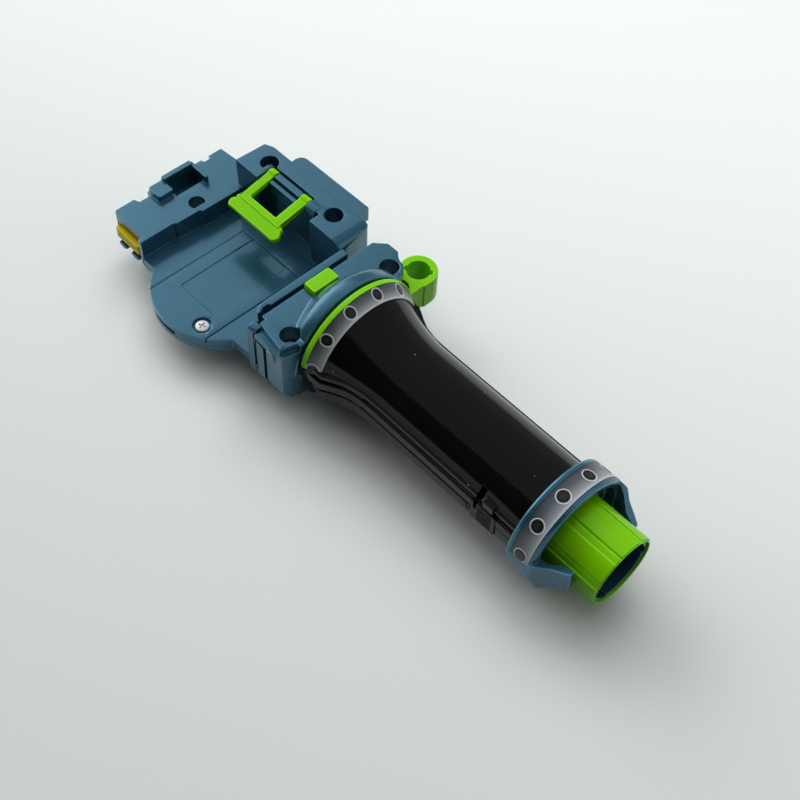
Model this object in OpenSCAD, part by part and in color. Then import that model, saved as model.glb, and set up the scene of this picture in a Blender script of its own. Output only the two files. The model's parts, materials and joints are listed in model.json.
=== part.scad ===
// Launcher for spinning tops: a hand grip with a locking collar, carrying a launcher head.
// The grip lies along X. While it is drawn, x = 0 is the face where the head meets the
// collar and y = z = 0 is the axis of the grip. The finished part is then moved so that
// its origin is at the middle of the face that it rests on.

/* [Grip] */
// Radius of the grip at mid length
grip_r = 16.7; // [15.5:0.1:18]
// Length of the grip shells from the collar to the butt plug
grip_len = 90.6; // [80:0.2:110]
// Wall of the grip shells
grip_wall = 2.2; // [1.6:0.1:3]
// Radius of the shells just behind the neck band
neck_r = 20.9; // [19.5:0.1:21.5]
// Length over which the neck tapers to the grip
neck_taper = 21; // [16:0.5:30]
// Height of the seam between the two shells above the grip axis
seam_z = 4.6; // [3:0.1:6]
// Height of the upper shell's seam flange
flange_h = 2.2; // [1.4:0.1:3]
// Half the width of the seam flange at the neck
flange_neck = 22.3; // [21.2:0.1:23]
// Half the width of the seam flange along the grip
flange_grip = 16.9; // [16.6:0.1:18]
// Radius of the grip screws' heads
grip_screw_r = 2.6; // [2.2:0.1:3]

/* [Neck ring and bands] */
// Outer radius of the neck ring
ring_r = 24.3; // [23.5:0.1:25]
// Width of the neck ring along the grip
ring_w = 2; // [1.4:0.1:3]
// Width of the neck band along the grip
neck_band_w = 4.7; // [3.5:0.1:6]
// Thickness of both metal bands
band_t = 0.4; // [0.3:0.05:0.7]
// Distance of the strap eyelet's centre from the grip axis
eyelet_y = 32.4; // [31.5:0.1:34]
// Outer radius of the strap eyelet
eyelet_r = 6.7; // [6:0.1:7.2]
// Radius of the hole in the strap eyelet
eyelet_hole_r = 4.1; // [3.2:0.1:4.5]
// Height of the strap eyelet
eyelet_h = 11; // [8:0.5:13]

/* [Butt] */
// Outer radius of the butt ring
butt_r = 20.3; // [19.6:0.1:21]
// Length of the butt ring
butt_len = 10.2; // [8.5:0.1:12]
// Outer radius of the holder tube
tube_r = 12.64; // [12:0.02:13.2]
// Length of the holder tube beyond the butt ring
tube_out = 17.9; // [12:0.1:24]
// Wall of the green holder tube
tube_wall = 1.1; // [0.8:0.1:1.6]
// Bore radius of the liner, which takes a top's stem cap
liner_bore_r = 10.3; // [9.4:0.1:10.8]
// How far the two guard fingers reach beyond the butt ring
finger_len = 10.7; // [8:0.1:14]

/* [Collar] */
// Length of the collar along the grip
collar_len = 17.2; // [16.6:0.1:20]
// Half the width of the collar
collar_half = 28; // [27.4:0.1:31]
// Height of the collar's flat top above the grip axis
collar_top = 14.2; // [13.6:0.1:16]
// Depth of the collar's ends below the grip axis
collar_low = 10.5; // [9:0.1:12]
// Radius of the hood over the neck
hood_r = 24.5; // [23.5:0.1:25.5]
// Radius of the belly under the collar
belly_r = 22.5; // [21.5:0.1:24]
// Distance of the collar screws from the grip axis
collar_screw_y = 21.26; // [20.6:0.02:21.8]
// Radius of the deep screw wells in the collar and the head
well_r = 3.33; // [3:0.01:3.5]

/* [Release button] */
// Width of the release button across the grip
button_w = 10.6; // [8:0.2:13]
// Length of the release button along the grip
button_l = 5.4; // [4:0.1:5.8]
// How far the button stands proud of the collar
button_proud = 2.1; // [1.7:0.1:2.5]
// Travel of the button
button_travel = 1.6; // [1:0.1:1.8]
// Height of the button's lock tooth
tooth_h = 1.3; // [1:0.1:1.5]
// Outer radius of the button's spring
spring_r = 1.2; // [1:0.1:1.3]

/* [Head] */
// Distance of the rail's outer face from the collar
rail_x = 77.5; // [74:0.5:82]
// Width of the rail
rail_w = 19; // [17:0.5:21]
// Height of the rail's top above the grip axis
rail_top = 3; // [2:0.1:4.5]
// Height of the dock floor and the disc's cover, below the grip axis
floor_z = 4.5; // [3.6:0.1:5]
// Reach of the head towards the near side
near_y = 28; // [26:0.2:30]
// Height of the hinge box's top above the grip axis
box_top = 14.5; // [14:0.1:16]
// Distance of the hinge box's inner wall from the grip axis
box_in_y = 15; // [14:0.2:16]
// Distance of the hinge box's outer wall from the grip axis
box_out_y = 29; // [28.4:0.2:31]
// How far the rear guide bar stands out from the hinge box
guide_out = 9.5; // [8:0.1:10]
// Radius of the disc-shaped drive housing
disc_r = 25; // [23:0.5:26]
// Distance of the spindle from the collar
spindle_x = 32.3; // [31:0.1:34]
// Distance of the spindle from the grip axis, towards the near side
spindle_y = 14; // [13:0.1:15]
// Thickness of the disc's cover
cover_t = 2; // [1.6:0.1:2.4]
// Width of the pull strip's channel
strip_w = 9.5; // [8:0.1:10]
// Height of the pull strip's channel
strip_h = 1.5; // [1.2:0.1:1.8]

/* [Latch] */
// Height of the latch's hinge pin above the grip axis
latch_z = 13.2; // [12.8:0.1:13.4]
// Distance of the hinge pin from the grip axis
latch_y = 20.8; // [20.2:0.1:21.4]
// Radius of the hinge pin
pin_r = 1; // [0.8:0.05:1.2]
// Reach of the latch from its pin
latch_reach = 19.5; // [18:0.1:21]
// How far the closed latch slopes down, in degrees
latch_slope = 12; // [6:0.5:14]
// Thickness of the latch frame
latch_t = 2.4; // [1.8:0.1:2.6]

/* [Claw] */
// Radius of the claw's plate
claw_r = 9.5; // [8.5:0.1:11]
// Number of claw prongs
prongs = 3; // [2:1:4]
// Number of teeth on the drive pinion
pinion_teeth = 10; // [8:1:12]
// Tip radius of the drive pinion
pinion_r = 5.3; // [5:0.1:5.6]

/* [Lock slide] */
// Length of the lock slide along the rail's end
slide_w = 13.4; // [11:0.1:13.6]
// Height of the lock slide
slide_h = 4.5; // [4:0.1:5.2]
// How far the lock slide stands out of the rail's end
slide_out = 1.7; // [0.8:0.1:2.5]
// Travel of the lock slide
slide_travel = 3; // [2:0.5:4]

/* [Hidden] */
$fn = 64;

blue = "#4a6f85";
green = "#78d000";
black = "#17181a";
steel = "#c8c8cc";
orange = "#c9a400";

fit = 0.1;
run_fit = 0.05;
free = 0.3;
eps = 0.01;

rest_z = -butt_r;
ring_x = collar_len + 1.2;
band_x = ring_x + ring_w;
shell_x = band_x + neck_band_w;
grip_end = ring_x + grip_len;
butt_x = grip_end - 3.5;
tube_end = butt_x + butt_len + tube_out;
part_mid = [(tube_end - rail_x) / 2, (eyelet_y + eyelet_r - spindle_y - disc_r) / 2, rest_z];

// The part's own frame, with its origin in the middle of the resting plane
module placed() { translate(-part_mid) children(); }

module block(x0, x1, y0, y1, z0, z1) { translate([x0, y0, z0]) cube([x1 - x0, y1 - y0, z1 - z0]); }

module round_x(x0, x1, r) { translate([x0, 0, 0]) rotate([0, 90, 0]) cylinder(r = r, h = x1 - x0); }

module post(x, y, z0, z1, r) { translate([x, y, z0]) cylinder(r = r, h = z1 - z0); }

// An outline of [y, z] points carried along X
module along_x(x0, x1) { translate([x0, 0, 0]) rotate([90, 0, 90]) linear_extrude(x1 - x0) children(); }

// An outline of [x, z] points carried along Y
module along_y(y0, y1) { translate([0, y1, 0]) rotate([90, 0, 0]) linear_extrude(y1 - y0) children(); }

module plate(z0, z1) { translate([0, 0, z0]) linear_extrude(z1 - z0) children(); }

// Points of a quarter circle, from the angle a
function corner(x, y, r, a) = [for (i = [0:4]) [x + r * cos(a + 22.5 * i), y + r * sin(a + 22.5 * i)]];

// Rectangle with rounded corners
module soft(x0, x1, y0, y1, r) {
    polygon(concat(corner(x1 - r, y1 - r, r, 0), corner(x0 + r, y1 - r, r, 90), corner(x0 + r, y0 + r, r, 180),
        corner(x1 - r, y0 + r, r, 270)));
}

// A profile of [radius, x] points turned about the grip axis
module turned(points) { rotate([0, 90, 0]) rotate_extrude($fn = 96) polygon(points); }

// What lies above the height z, between x0 and x1
module above(z, x0, x1) {
    intersection() {
        children();
        block(x0, x1, -40, 40, z, 40);
    }
}

// What lies below the height z and above the resting plane
module below(z, x0, x1) {
    intersection() {
        children();
        block(x0, x1, -40, 40, rest_z, z);
    }
}

// Pan head screw on -Z, its head's top at z
module screw(x, y, z, head_r, head_h, shank_r, length) {
    difference() {
        union() {
            post(x, y, z - head_h, z, head_r);
            post(x, y, z - head_h - length, z - head_h + eps, shank_r);
        }
        for (turn = [0, 90]) translate([x, y, z]) rotate(turn + 20)
            cube([head_r * 1.1, head_r * 0.26, head_h], center = true);
    }
}

// Grip

neck_steps = 7;
function neck(s) = grip_r + (neck_r - grip_r) * pow(1 - s, 2);
function neck_line(cut) = [for (i = [0:neck_steps]) let (s = i / neck_steps)
    [neck(s) - cut, shell_x + s * neck_taper]];

// The seam flanges are wide at the neck and die away into the grip
flange_half = [[ring_x, flange_neck], [shell_x + 1, flange_neck], [shell_x + 4.7, flange_neck - 2.1],
    [shell_x + 9, neck_r - 2.7], [shell_x + 14, flange_grip + 0.2], [shell_x + neck_taper, flange_grip],
    [grip_end, flange_grip]];

module flange_outline(cut) {
    points = [for (p = flange_half) [p[0], p[1] - cut]];
    back = [for (i = [len(points) - 1:-1:0]) [points[i][0], -points[i][1]]];
    polygon(concat(points, back));
}

grip_screw_x = [ring_x + 24, ring_x + 52, ring_x + 78];
catch_x = grip_end - 20.8;
catch_len = 10;
catch_z = [-4.2, seam_z - 0.1];
rail_end = catch_x - 1.4;

module catch_window() {
    block(catch_x, catch_x + catch_len, -grip_r - 3, -grip_r + 1.6, catch_z[0], catch_z[1]);
    block(catch_x + 1, catch_x + 3, -grip_r - 3, -grip_r + 3.6, seam_z - 0.1, seam_z + 5);
}

module grip_bore() {
    turned(concat([[0, ring_x + 2], [ring_r - 6.4, ring_x + 2], [ring_r - 6.4, band_x]],
        neck_line(grip_wall), [[grip_r - grip_wall, grip_end - 2], [0, grip_end - 2]]));
}

module grip_upper_shell() {
    color(black) placed() difference() {
        union() {
            difference() {
                union() {
                    above(seam_z, ring_x, grip_end) turned(concat([[0, ring_x], [ring_r - 3.8, ring_x],
                        [ring_r - 3.8, band_x], [ring_r - band_t - 0.4, band_x], [neck_r - 0.1, shell_x]],
                        neck_line(0), [[grip_r, grip_end], [0, grip_end]]));
                    intersection() {
                        plate(seam_z, seam_z + flange_h) flange_outline(0.9);
                        block(band_x, butt_x - fit, -40, 40, 0, 40);
                    }
                }
                grip_bore();
            }
            for (x = grip_screw_x) post(x, 0, seam_z, grip_r - 1, 3);
            block(catch_x + 4, catch_x + 8.4, -grip_r - 0.1, -13.5, seam_z + 0.4, seam_z + 3.4);
        }
        for (x = grip_screw_x) post(x, 0, 0, seam_z + 6, 1.2);
        catch_window();
    }
}

module grip_lower_shell() {
    color(black) placed() difference() {
        union() {
            difference() {
                union() {
                    below(seam_z, ring_x, grip_end) turned(concat([[0, ring_x], [ring_r - 3.9, ring_x],
                        [ring_r - 3.9, band_x], [neck_r, band_x]], neck_line(0), [[grip_r, grip_end], [0, grip_end]]));
                    intersection() {
                        plate(1, seam_z - 0.4) flange_outline(0);
                        union() {
                            block(ring_x + fit, butt_x - fit, -40, 0, -40, 40);
                            block(band_x, butt_x - fit, 0, 40, -40, 40);
                        }
                    }
                    intersection() {
                        plate(-3, 0.5) flange_outline(-0.2);
                        block(shell_x, rail_end, -40, 40, -40, 40);
                    }
                    for (side = [0, 1]) mirror([0, side, 0])
                        along_y(grip_r - 1.2, flange_grip - 0.2) polygon([[rail_end - 1, -3], [rail_end, -3],
                            [rail_end + 1.2, -2], [rail_end + 1.2, -0.6], [rail_end, 0.5], [rail_end - 1, 0.5]]);
                }
                grip_bore();
            }
            for (x = grip_screw_x) intersection() {
                post(x, 0, -30, seam_z, grip_screw_r + 1.4);
                round_x(ring_x, grip_end, grip_r - 0.6);
            }
        }
        for (x = grip_screw_x) {
            post(x, 0, -30, -5, grip_screw_r + 0.3);
            post(x, 0, -6, seam_z + 1, 1.45);
        }
        catch_window();
    }
}

// Ribbed pad of the snap catch that holds the two shells together
module seam_catch() {
    pad_y = -grip_r - 0.3;
    rib = 0.55;
    color(black) placed() difference() {
        block(catch_x + fit, catch_x + catch_len - fit, pad_y, -grip_r + 1.6, catch_z[0] + fit, catch_z[1] - fit);
        block(catch_x + 1, catch_x + 2.2, pad_y - 1, pad_y + 1.4, 1.4, seam_z);
        for (i = [0:5]) block(catch_x + 2.8, catch_x + catch_len - 1.6, pad_y - 1, pad_y + 0.7,
            catch_z[0] + 1.2 + 2.2 * rib * i, catch_z[0] + 1.2 + 2.2 * rib * i + rib);
    }
}

module grip_screws() {
    color(steel) placed() for (x = grip_screw_x) translate([x, 0, 0]) rotate([180, 0, 0])
        screw(0, 0, 7, grip_screw_r, 2, 1.15, 15);
}

// Neck ring with the strap eyelet

eyelet_x = collar_len - 3;
eyelet_top = 6.5;
band_z = seam_z + flange_h + fit;

module eyelet_arm_outline() {
    polygon([[ring_x + fit, ring_r - 4], [eyelet_x + eyelet_r, ring_r - 4], [eyelet_x + eyelet_r, eyelet_y],
        [eyelet_x, eyelet_y], [eyelet_x, eyelet_y - 5.4], [ring_x - 0.9, ring_r + 0.7], [ring_x + fit, ring_r - 1.3]]);
}

module neck_ring() {
    color(green) placed() difference() {
        union() {
            intersection() {
                round_x(ring_x + run_fit, band_x - run_fit, ring_r);
                union() {
                    block(ring_x, band_x, -40, 1, band_z, 40);
                    block(ring_x, band_x, 0, 40, eyelet_top - eyelet_h, 40);
                }
            }
            intersection() {
                plate(eyelet_top - eyelet_h, eyelet_top) union() {
                    eyelet_arm_outline();
                    translate([eyelet_x, eyelet_y]) circle(eyelet_r);
                }
                union() {
                    block(-1, band_x - run_fit, 20, eyelet_y - 3.4, -30, 30);
                    block(-1, 40, eyelet_y - 3.4, 60, -30, 30);
                    post(eyelet_x, eyelet_y, -30, 30, eyelet_r);
                }
            }
        }
        round_x(ring_x - 3, band_x + 3, ring_r - 3.8 + fit);
        post(eyelet_x, eyelet_y, -30, 30, eyelet_hole_r);
        for (turn = [35, 215]) translate([eyelet_x, eyelet_y, 0]) rotate(turn)
            block(0, eyelet_hole_r + 0.8, -0.9, 0.9, -30, 30);
    }
}

module neck_band() {
    color(steel) placed() difference() {
        above(band_z, band_x, shell_x) turned([[ring_r - band_t - 0.3, band_x], [ring_r - 0.3, band_x],
            [neck_r + band_t, shell_x], [neck_r, shell_x]]);
        for (side = [-1, 1]) translate([band_x + 1.9, side * 21, band_z]) rotate([side * 90, 0, 0])
            cylinder(r = 1.5, h = 6, center = true);
    }
}

// Butt

band_seat_r = butt_r - band_t - fit;
butt_end = butt_x + butt_len;
butt_band_z = 2.6;

// One guard finger, drawn on the near side
module finger_outline() {
    polygon([[butt_end - 4, 3.2 - butt_r], [butt_end - 4, -butt_r], [butt_end + 0.4, 0.3 - butt_r],
        [butt_end + 0.45 * finger_len, 3.1 - butt_r], [butt_end + 0.8 * finger_len, -tube_r - 3.5],
        [butt_end + finger_len, -tube_r - 2.7], [butt_end + finger_len, -tube_r - 0.9],
        [butt_end + 0.6 * finger_len, -tube_r - 1.2], [butt_end + 0.25 * finger_len, 4 - butt_r],
        [butt_end, 3.2 - butt_r]]);
}

module finger_side() {
    polygon([[butt_end - 4, -9.6], [butt_end + 0.8, -8.8], [butt_end + 0.4 * finger_len, -5.8],
        [butt_end + finger_len, -0.8], [butt_end + finger_len - 0.3, 7.2], [butt_end + 0.6 * finger_len, 6],
        [butt_end + 0.2 * finger_len, 4.6], [butt_end - 4, 3.4]]);
}

module butt_ring() {
    color(blue) placed() difference() {
        union() {
            difference() {
                turned([[0, butt_x], [butt_r - 0.5, butt_x], [butt_r, butt_x + 0.5], [butt_r, butt_end - 1.3],
                    [butt_r - 1.3, butt_end], [butt_r - 3.2, butt_end], [butt_r - 3.6, butt_end - 3.5],
                    [0, butt_end - 3.5]]);
                round_x(butt_x - 1, grip_end, grip_r + fit);
                round_x(butt_x, butt_end, tube_r + fit);
            }
            for (turn = [0, 180]) rotate([turn, 0, 0]) intersection() {
                plate(-15, 15) finger_outline();
                along_y(-30, 0) finger_side();
                difference() {
                    round_x(butt_end - 3.5, butt_end + 20, butt_r - 0.02);
                    round_x(butt_end - 4, butt_end - 0.02, butt_r - 3.55);
                }
            }
        }
        above(butt_band_z - fit, butt_x, butt_end) turned([[band_seat_r, butt_x + 1.9],
            [butt_r + 1, butt_x + 1.9], [butt_r + 1, butt_end - 1.3], [band_seat_r, butt_end - 1.3]]);
    }
}

module butt_band() {
    color(steel) placed() above(butt_band_z, butt_x, butt_end) turned([
        [butt_r - band_t, butt_x + 2], [butt_r, butt_x + 2], [butt_r, butt_end - 1.4], [butt_r - band_t, butt_end - 1.4]]);
}

tube_x = grip_end;
liner_r = tube_r - tube_wall - run_fit;

module holder_tube() {
    color(green) placed() difference() {
        union() {
            round_x(tube_x, tube_end, tube_r - 0.7);
            for (i = [0:7]) rotate([45 * i, 0, 0]) {
                intersection() {
                    round_x(tube_x + 0.2, tube_end - 0.4, tube_r);
                    rotate([-2.5, 0, 0]) block(tube_x, tube_end, -3.4, 3.4, 6, 20);
                }
                intersection() {
                    round_x(tube_x + 0.3, tube_end - 0.5, tube_r - 0.3);
                    rotate([22.3, 0, 0]) block(tube_x, tube_end, -1, 1.3, 6, 20);
                }
            }
        }
        round_x(tube_x - 1, tube_end + 1, tube_r - tube_wall);
    }
}

module tube_liner() {
    color(blue) placed() difference() {
        round_x(tube_x, tube_end - 0.8, liner_r);
        round_x(tube_x + 2, tube_end + 1, liner_bore_r);
        for (i = [0:2]) rotate([120 * i + 30, 0, 0])
            block(tube_end - 4, tube_end + 1, -1.5, 1.5, 0, liner_r - 0.3);
    }
}

// Collar

collar_screw_x = 11.6;
channel_x = [1.8, 7.2];
channel_z = [-8, 8.4];
slot_z = [-5, 6];
channel_y = collar_half - 4;
pocket_z = collar_top - 4.6;

module collar_outline() {
    difference() {
        union() {
            polygon([[0, -22.9], [1.7, -22.9], [1.7, -collar_half], [collar_len - 2.6, -collar_half],
                [collar_len - 1.5, 0.8 - collar_half], [collar_len - 0.6, -collar_half + 3],
                [collar_len, -collar_half + 6], [collar_len, collar_screw_y], [collar_len - 3.7, collar_half - 2.8],
                [collar_len - 7.5, collar_half], [3.9, collar_half], [0, 24.3]]);
            translate([collar_screw_x, collar_screw_y]) circle(well_r + 1.3);
        }
        translate([eyelet_x, eyelet_y]) circle(eyelet_r + free);
        polygon([[eyelet_x, eyelet_y], [eyelet_x - 0.3, eyelet_y - 5.7], [ring_x - 1.2, ring_r + 0.4],
            [ring_x, ring_r - 1.7], [ring_x, eyelet_y]]);
    }
}

// The two ends of the collar are bevelled towards the floor
module collar_bevel() {
    along_x(-1, collar_len + 1) difference() {
        translate([-collar_half - 1, -30]) square([2 * collar_half + 2, 60]);
        for (side = [-1, 1]) polygon([[side * (collar_half - 2.4), -collar_low - 1],
            [side * (collar_half - 2.4), -collar_low], [side * collar_half, -collar_low + 2.4],
            [side * (collar_half + 2), -collar_low + 2.4], [side * (collar_half + 2), -collar_low - 1]]);
    }
}

module tongue_channel() {
    block(channel_x[0], channel_x[1], -40, channel_y, channel_z[0], channel_z[1]);
    block(-1, channel_x[0] + eps, -40, channel_y, slot_z[0], slot_z[1]);
}

module collar_upper_housing() {
    color(blue) placed() difference() {
        union() {
            plate(0, collar_top) collar_outline();
            above(0, 0, collar_len) turned([[0, 4.1], [collar_top, 4.1], [hood_r - 2.3, 10.2], [hood_r - 0.6, 12.2],
                [hood_r, 14.2], [hood_r, collar_len - 0.5], [hood_r - 0.5, collar_len], [0, collar_len]]);
            above(band_z, 0, ring_x) round_x(collar_len - 1, ring_x, ring_r - 1.9);
            block(8.8, 11.8, -collar_half - 0.7, -collar_half + 1, 6, 9.6);
        }
        tongue_channel();
        for (side = [-1, 1]) {
            post(collar_screw_x, side * collar_screw_y, 5.7, 30, well_r);
            post(collar_screw_x, side * collar_screw_y, -1, 6, 1.35);
        }
        plate(10.4, 20) polygon([[-1, -30], [-1, 2.8 - collar_half], [1.6, 2.8 - collar_half],
            [collar_len - 3.4, 0.8 - collar_half], [collar_len - 2.8, -30]]);
        plate(11.4, 20) polygon([[collar_len - 3.5, -30], [collar_len - 3, 0.9 - collar_half],
            [collar_len - 1.6, 6.1 - collar_half], [collar_len + 1, 6.1 - collar_half], [collar_len + 1, -30]]);
        block(-1, button_x + button_l + free, -button_w / 2 - free, button_w / 2 + free, pocket_z, 30);
        block(channel_x[0], leg_x[1] + free, -leg_w / 2 - free, leg_w / 2 + free, channel_z[1] - 1, leg_top + free);
        block(channel_x[1] - 1, leg_x[1] + free, -leg_w / 2 - free, leg_w / 2 + free, -1, channel_z[1]);
    }
}

module collar_lower_housing() {
    color(blue) placed() difference() {
        union() {
            intersection() {
                plate(-collar_low, 0) collar_outline();
                collar_bevel();
            }
            below(0, 2, collar_len) round_x(2, collar_len, belly_r);
            below(0, 0, ring_x) round_x(collar_len - 1, ring_x, ring_r - 4.4);
        }
        tongue_channel();
        post(spring_x, 0, spring_z, 1, spring_r + free);
        for (side = [-1, 1]) post(collar_screw_x, side * collar_screw_y, -7, 1, 1.35);
    }
}

module collar_screws() {
    color(steel) placed() for (side = [-1, 1])
        screw(collar_screw_x, side * collar_screw_y, 7.7, 2.9, 2, 1.3, 12);
}

// Release button. Its leg reaches down in front of the tongue, where the tooth at its foot
// holds the tongue; pressed down, the tooth drops into a groove and the tongue slides out.

tooth_z = 3.4;
leg_w = 5.2;
leg_x = [channel_x[1] - free, channel_x[1] + 1.9];
leg_top = pocket_z + button_travel + 0.8;
button_x = -0.3;
spring_x = leg_x[0] + spring_r - fit;
spring_z = -5;

module release_button() {
    color(green) placed() {
        block(button_x, button_x + button_l, -button_w / 2, button_w / 2, pocket_z + button_travel + 0.4,
            collar_top + button_proud);
        block(channel_x[0] + free, leg_x[1], -leg_w / 2, leg_w / 2, channel_z[1] + button_travel, leg_top);
        block(leg_x[0], leg_x[1], -leg_w / 2, leg_w / 2, tooth_z, leg_top);
        block(leg_x[0] - 1, leg_x[1], -leg_w / 2, leg_w / 2, tooth_z, tooth_z + tooth_h);
    }
}

module button_spring() {
    color(steel) placed() difference() {
        post(spring_x, 0, spring_z, tooth_z, spring_r);
        post(spring_x, 0, spring_z - 1, tooth_z + 1, spring_r - 0.4);
    }
}

// Tongue of the head, held in the collar's channel

tongue_x = [channel_x[0] + free, channel_x[1] - 0.8];

module dock_tongue() {
    color(blue) placed() difference() {
        union() {
            block(tongue_x[0], tongue_x[1], -collar_half - 0.4, channel_y - 2, channel_z[0] + free, channel_z[1] - free);
            block(wall_x[1], tongue_x[0] + eps, 2 - collar_half, channel_y - 2, slot_z[0] + free, slot_z[1] - free);
            along_x(-1.9, 1.5) polygon([[-23.2, -collar_low], [-collar_half + 2, -collar_low],
                [-collar_half, -collar_low + 2], [-collar_half, 9.6], [-collar_half + 0.7, 11], [-collar_half + 1.8, 11.6],
                [-24.6, 11.6], [-23.2, 10.2]]);
        }
        block(leg_x[0] - 1.5, 9, -leg_w / 2 - free, leg_w / 2 + free, tooth_z - 0.1, tooth_z + tooth_h + free);
        block(leg_x[0] - 1.5, 9, -leg_w / 2 - free, 23, tooth_z - button_travel - free, tooth_z - 0.1);
        block(tongue_x[0] - 1, tongue_x[0] + 0.8, -collar_half - 1, -collar_half + 1.1, -20, 20);
    }
}

// Head

parting_z = -floor_z - cover_t - strip_h - 0.6;
rail_in = -rail_x + rail_w;
rail_y = -near_y + 2.7;
wall_top = collar_top - 0.7;
box_x = [-59.5, -6.2];
disc_c = [-spindle_x, -spindle_y];
cover_x = [disc_c[0] - 14.2, disc_c[0] + 14.9];
cover_y = 6.3;
strip_x = [disc_c[0] - 13.8, disc_c[0] - 13.8 + strip_w];
box_well_x = [-50.8, -17.5];
box_well_y = 22.9;
rail_well = [rail_in - 3.4, -1.5];
rail_well_r = well_r - 0.4;
arm_left = [-48, -44.7];
arm_right = [-31.4, -27.5];
notch_x = [-48.4, -21];
hinge_depth = 10;
room_y = 23.2;
ear_r = 3;
ear_z = 12;
low_z = -12;
foot_x = -rail_x + 5.2;
foot_r = 2.6;

module rail_outline() {
    polygon([[rail_in - 0.8, -near_y + 0.4], [rail_in - 2.6, -near_y + 0.5], [rail_in - 2.8, rail_y],
        [-rail_x + 0.4, rail_y],
        [-rail_x, -near_y + 3.4], [-rail_x, -17], [-rail_x + 2.2, -16.2], [-rail_x + 2.2, -11.8], [-rail_x, -11.4],
        [-rail_x, 12.6], [-rail_x + 1.4, 13], [-rail_x + 1.4, 15.4], [-rail_x, 15.8], [-rail_x, 21.6], [-69.6, 22.3],
        [-60.6, box_in_y + 0.8], [rail_in + 1.5, box_in_y + 0.8], [rail_in + 1.2, -2.6], [rail_in + 0.2, -3.2],
        [rail_in, -12.8], [rail_in - 0.8, -13.8]]);
}

module box_outline() {
    polygon([[box_x[0] - 0.2, box_in_y], [box_x[0] + 0.4, 27.6], [box_x[0] + 4, box_out_y], [box_x[1] - 1, box_out_y],
        [box_x[1], box_out_y - 1.4], [box_x[1] + 1, box_in_y]]);
}

// End view of the hinge box, with a rounded edge towards the collar
module box_side() {
    union() {
        translate([box_x[0] - 2, parting_z]) square([box_x[1] - box_x[0] - 1.2, box_top - parting_z]);
        translate([box_x[0] - 2, parting_z]) square([box_x[1] - box_x[0] + 4, box_top - 4 - parting_z]);
        translate([box_x[1] - 3.4, box_top - 4.2]) scale([1.06, 1]) circle(4.2);
    }
}

module floor_outline() {
    union() {
        polygon([[rail_in - 1, -near_y + 0.2], [rail_in + 6.4, -near_y + 0.2], [disc_c[0], -near_y],
            [-3, -near_y + 1], [-3, 16], [rail_in - 1, 16]]);
        translate(disc_c) circle(disc_r, $fn = 128);
    }
}

wall_x = [-4.9, -2.1];

module end_wall_outline() {
    polygon([[wall_x[0], box_in_y + 0.5], [wall_x[0], -18], [wall_x[0] + 0.4, -20.4], [wall_x[1] - 0.9, -22.6],
        [wall_x[1], -23], [wall_x[1], -21.6], [wall_x[1] - 1, -20.2], [wall_x[1] - 1, -18], [wall_x[1], -17.4],
        [wall_x[1], box_in_y + 0.5]]);
}

// Spring clip on the rail: a tab between two arms
module rail_clip() {
    plate(rail_top - 1, rail_top + 3.8) soft(-rail_x + 0.5, -rail_x + 2.6, -5.4, 7.2, 0.6);
    plate(rail_top - 1, rail_top + 2.5) soft(-rail_x + 0.8, -rail_x + 7.4, -11.2, -5, 0.8);
    plate(rail_top - 1, rail_top + 3) soft(-rail_x + 0.7, -rail_x + 10.6, 6.6, 8, 0.6);
}

// Two ribs between the latch's arms, the far one a sleeve for the hinge pin
module hinge_block() {
    x0 = arm_left[1] + free;
    x1 = arm_right[0] - free;
    block(x0, x1, 17.2, room_y, hinge_depth - 1, 11.4);
    block(x0, x1, 17.2, 18.8, hinge_depth, box_top - 0.9);
    block(x0, x1, latch_y - 1.3, latch_y + 1.3, hinge_depth, latch_z + 1.5);
}

// Room for the latch's arms, and the window under them
module latch_room() {
    difference() {
        union() {
            block(notch_x[0], arm_right[1] + free, box_in_y - 3, room_y, hinge_depth, 30);
            block(notch_x[0], notch_x[1], box_in_y - 3, 19.4, -floor_z, 30);
        }
        hinge_block();
    }
}

module disc_cover_outline(gap) {
    intersection() {
        translate(disc_c) circle(disc_r + (gap > 0 ? 1 : 0), $fn = 128);
        polygon([[cover_x[0] - gap, cover_y - 3 * disc_r], [cover_x[1] + 4 * gap, cover_y - 3 * disc_r],
            [cover_x[1] + 4 * gap, cover_y + gap], [cover_x[0] - gap, cover_y + gap]]);
    }
}

slide_x = [-rail_x + 1.2, -rail_x + 1.2 + slide_w];
slide_z = [-2.7 - slide_h, -2.7];
slide_y = rail_y - slide_out;
slide_deep = 10.5;
cover_screw_xy = [disc_c[0] + 9.6, disc_c[1] - 17];
pin_x = [notch_x[0] - 1.1, arm_right[1] + free + 3];

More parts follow.
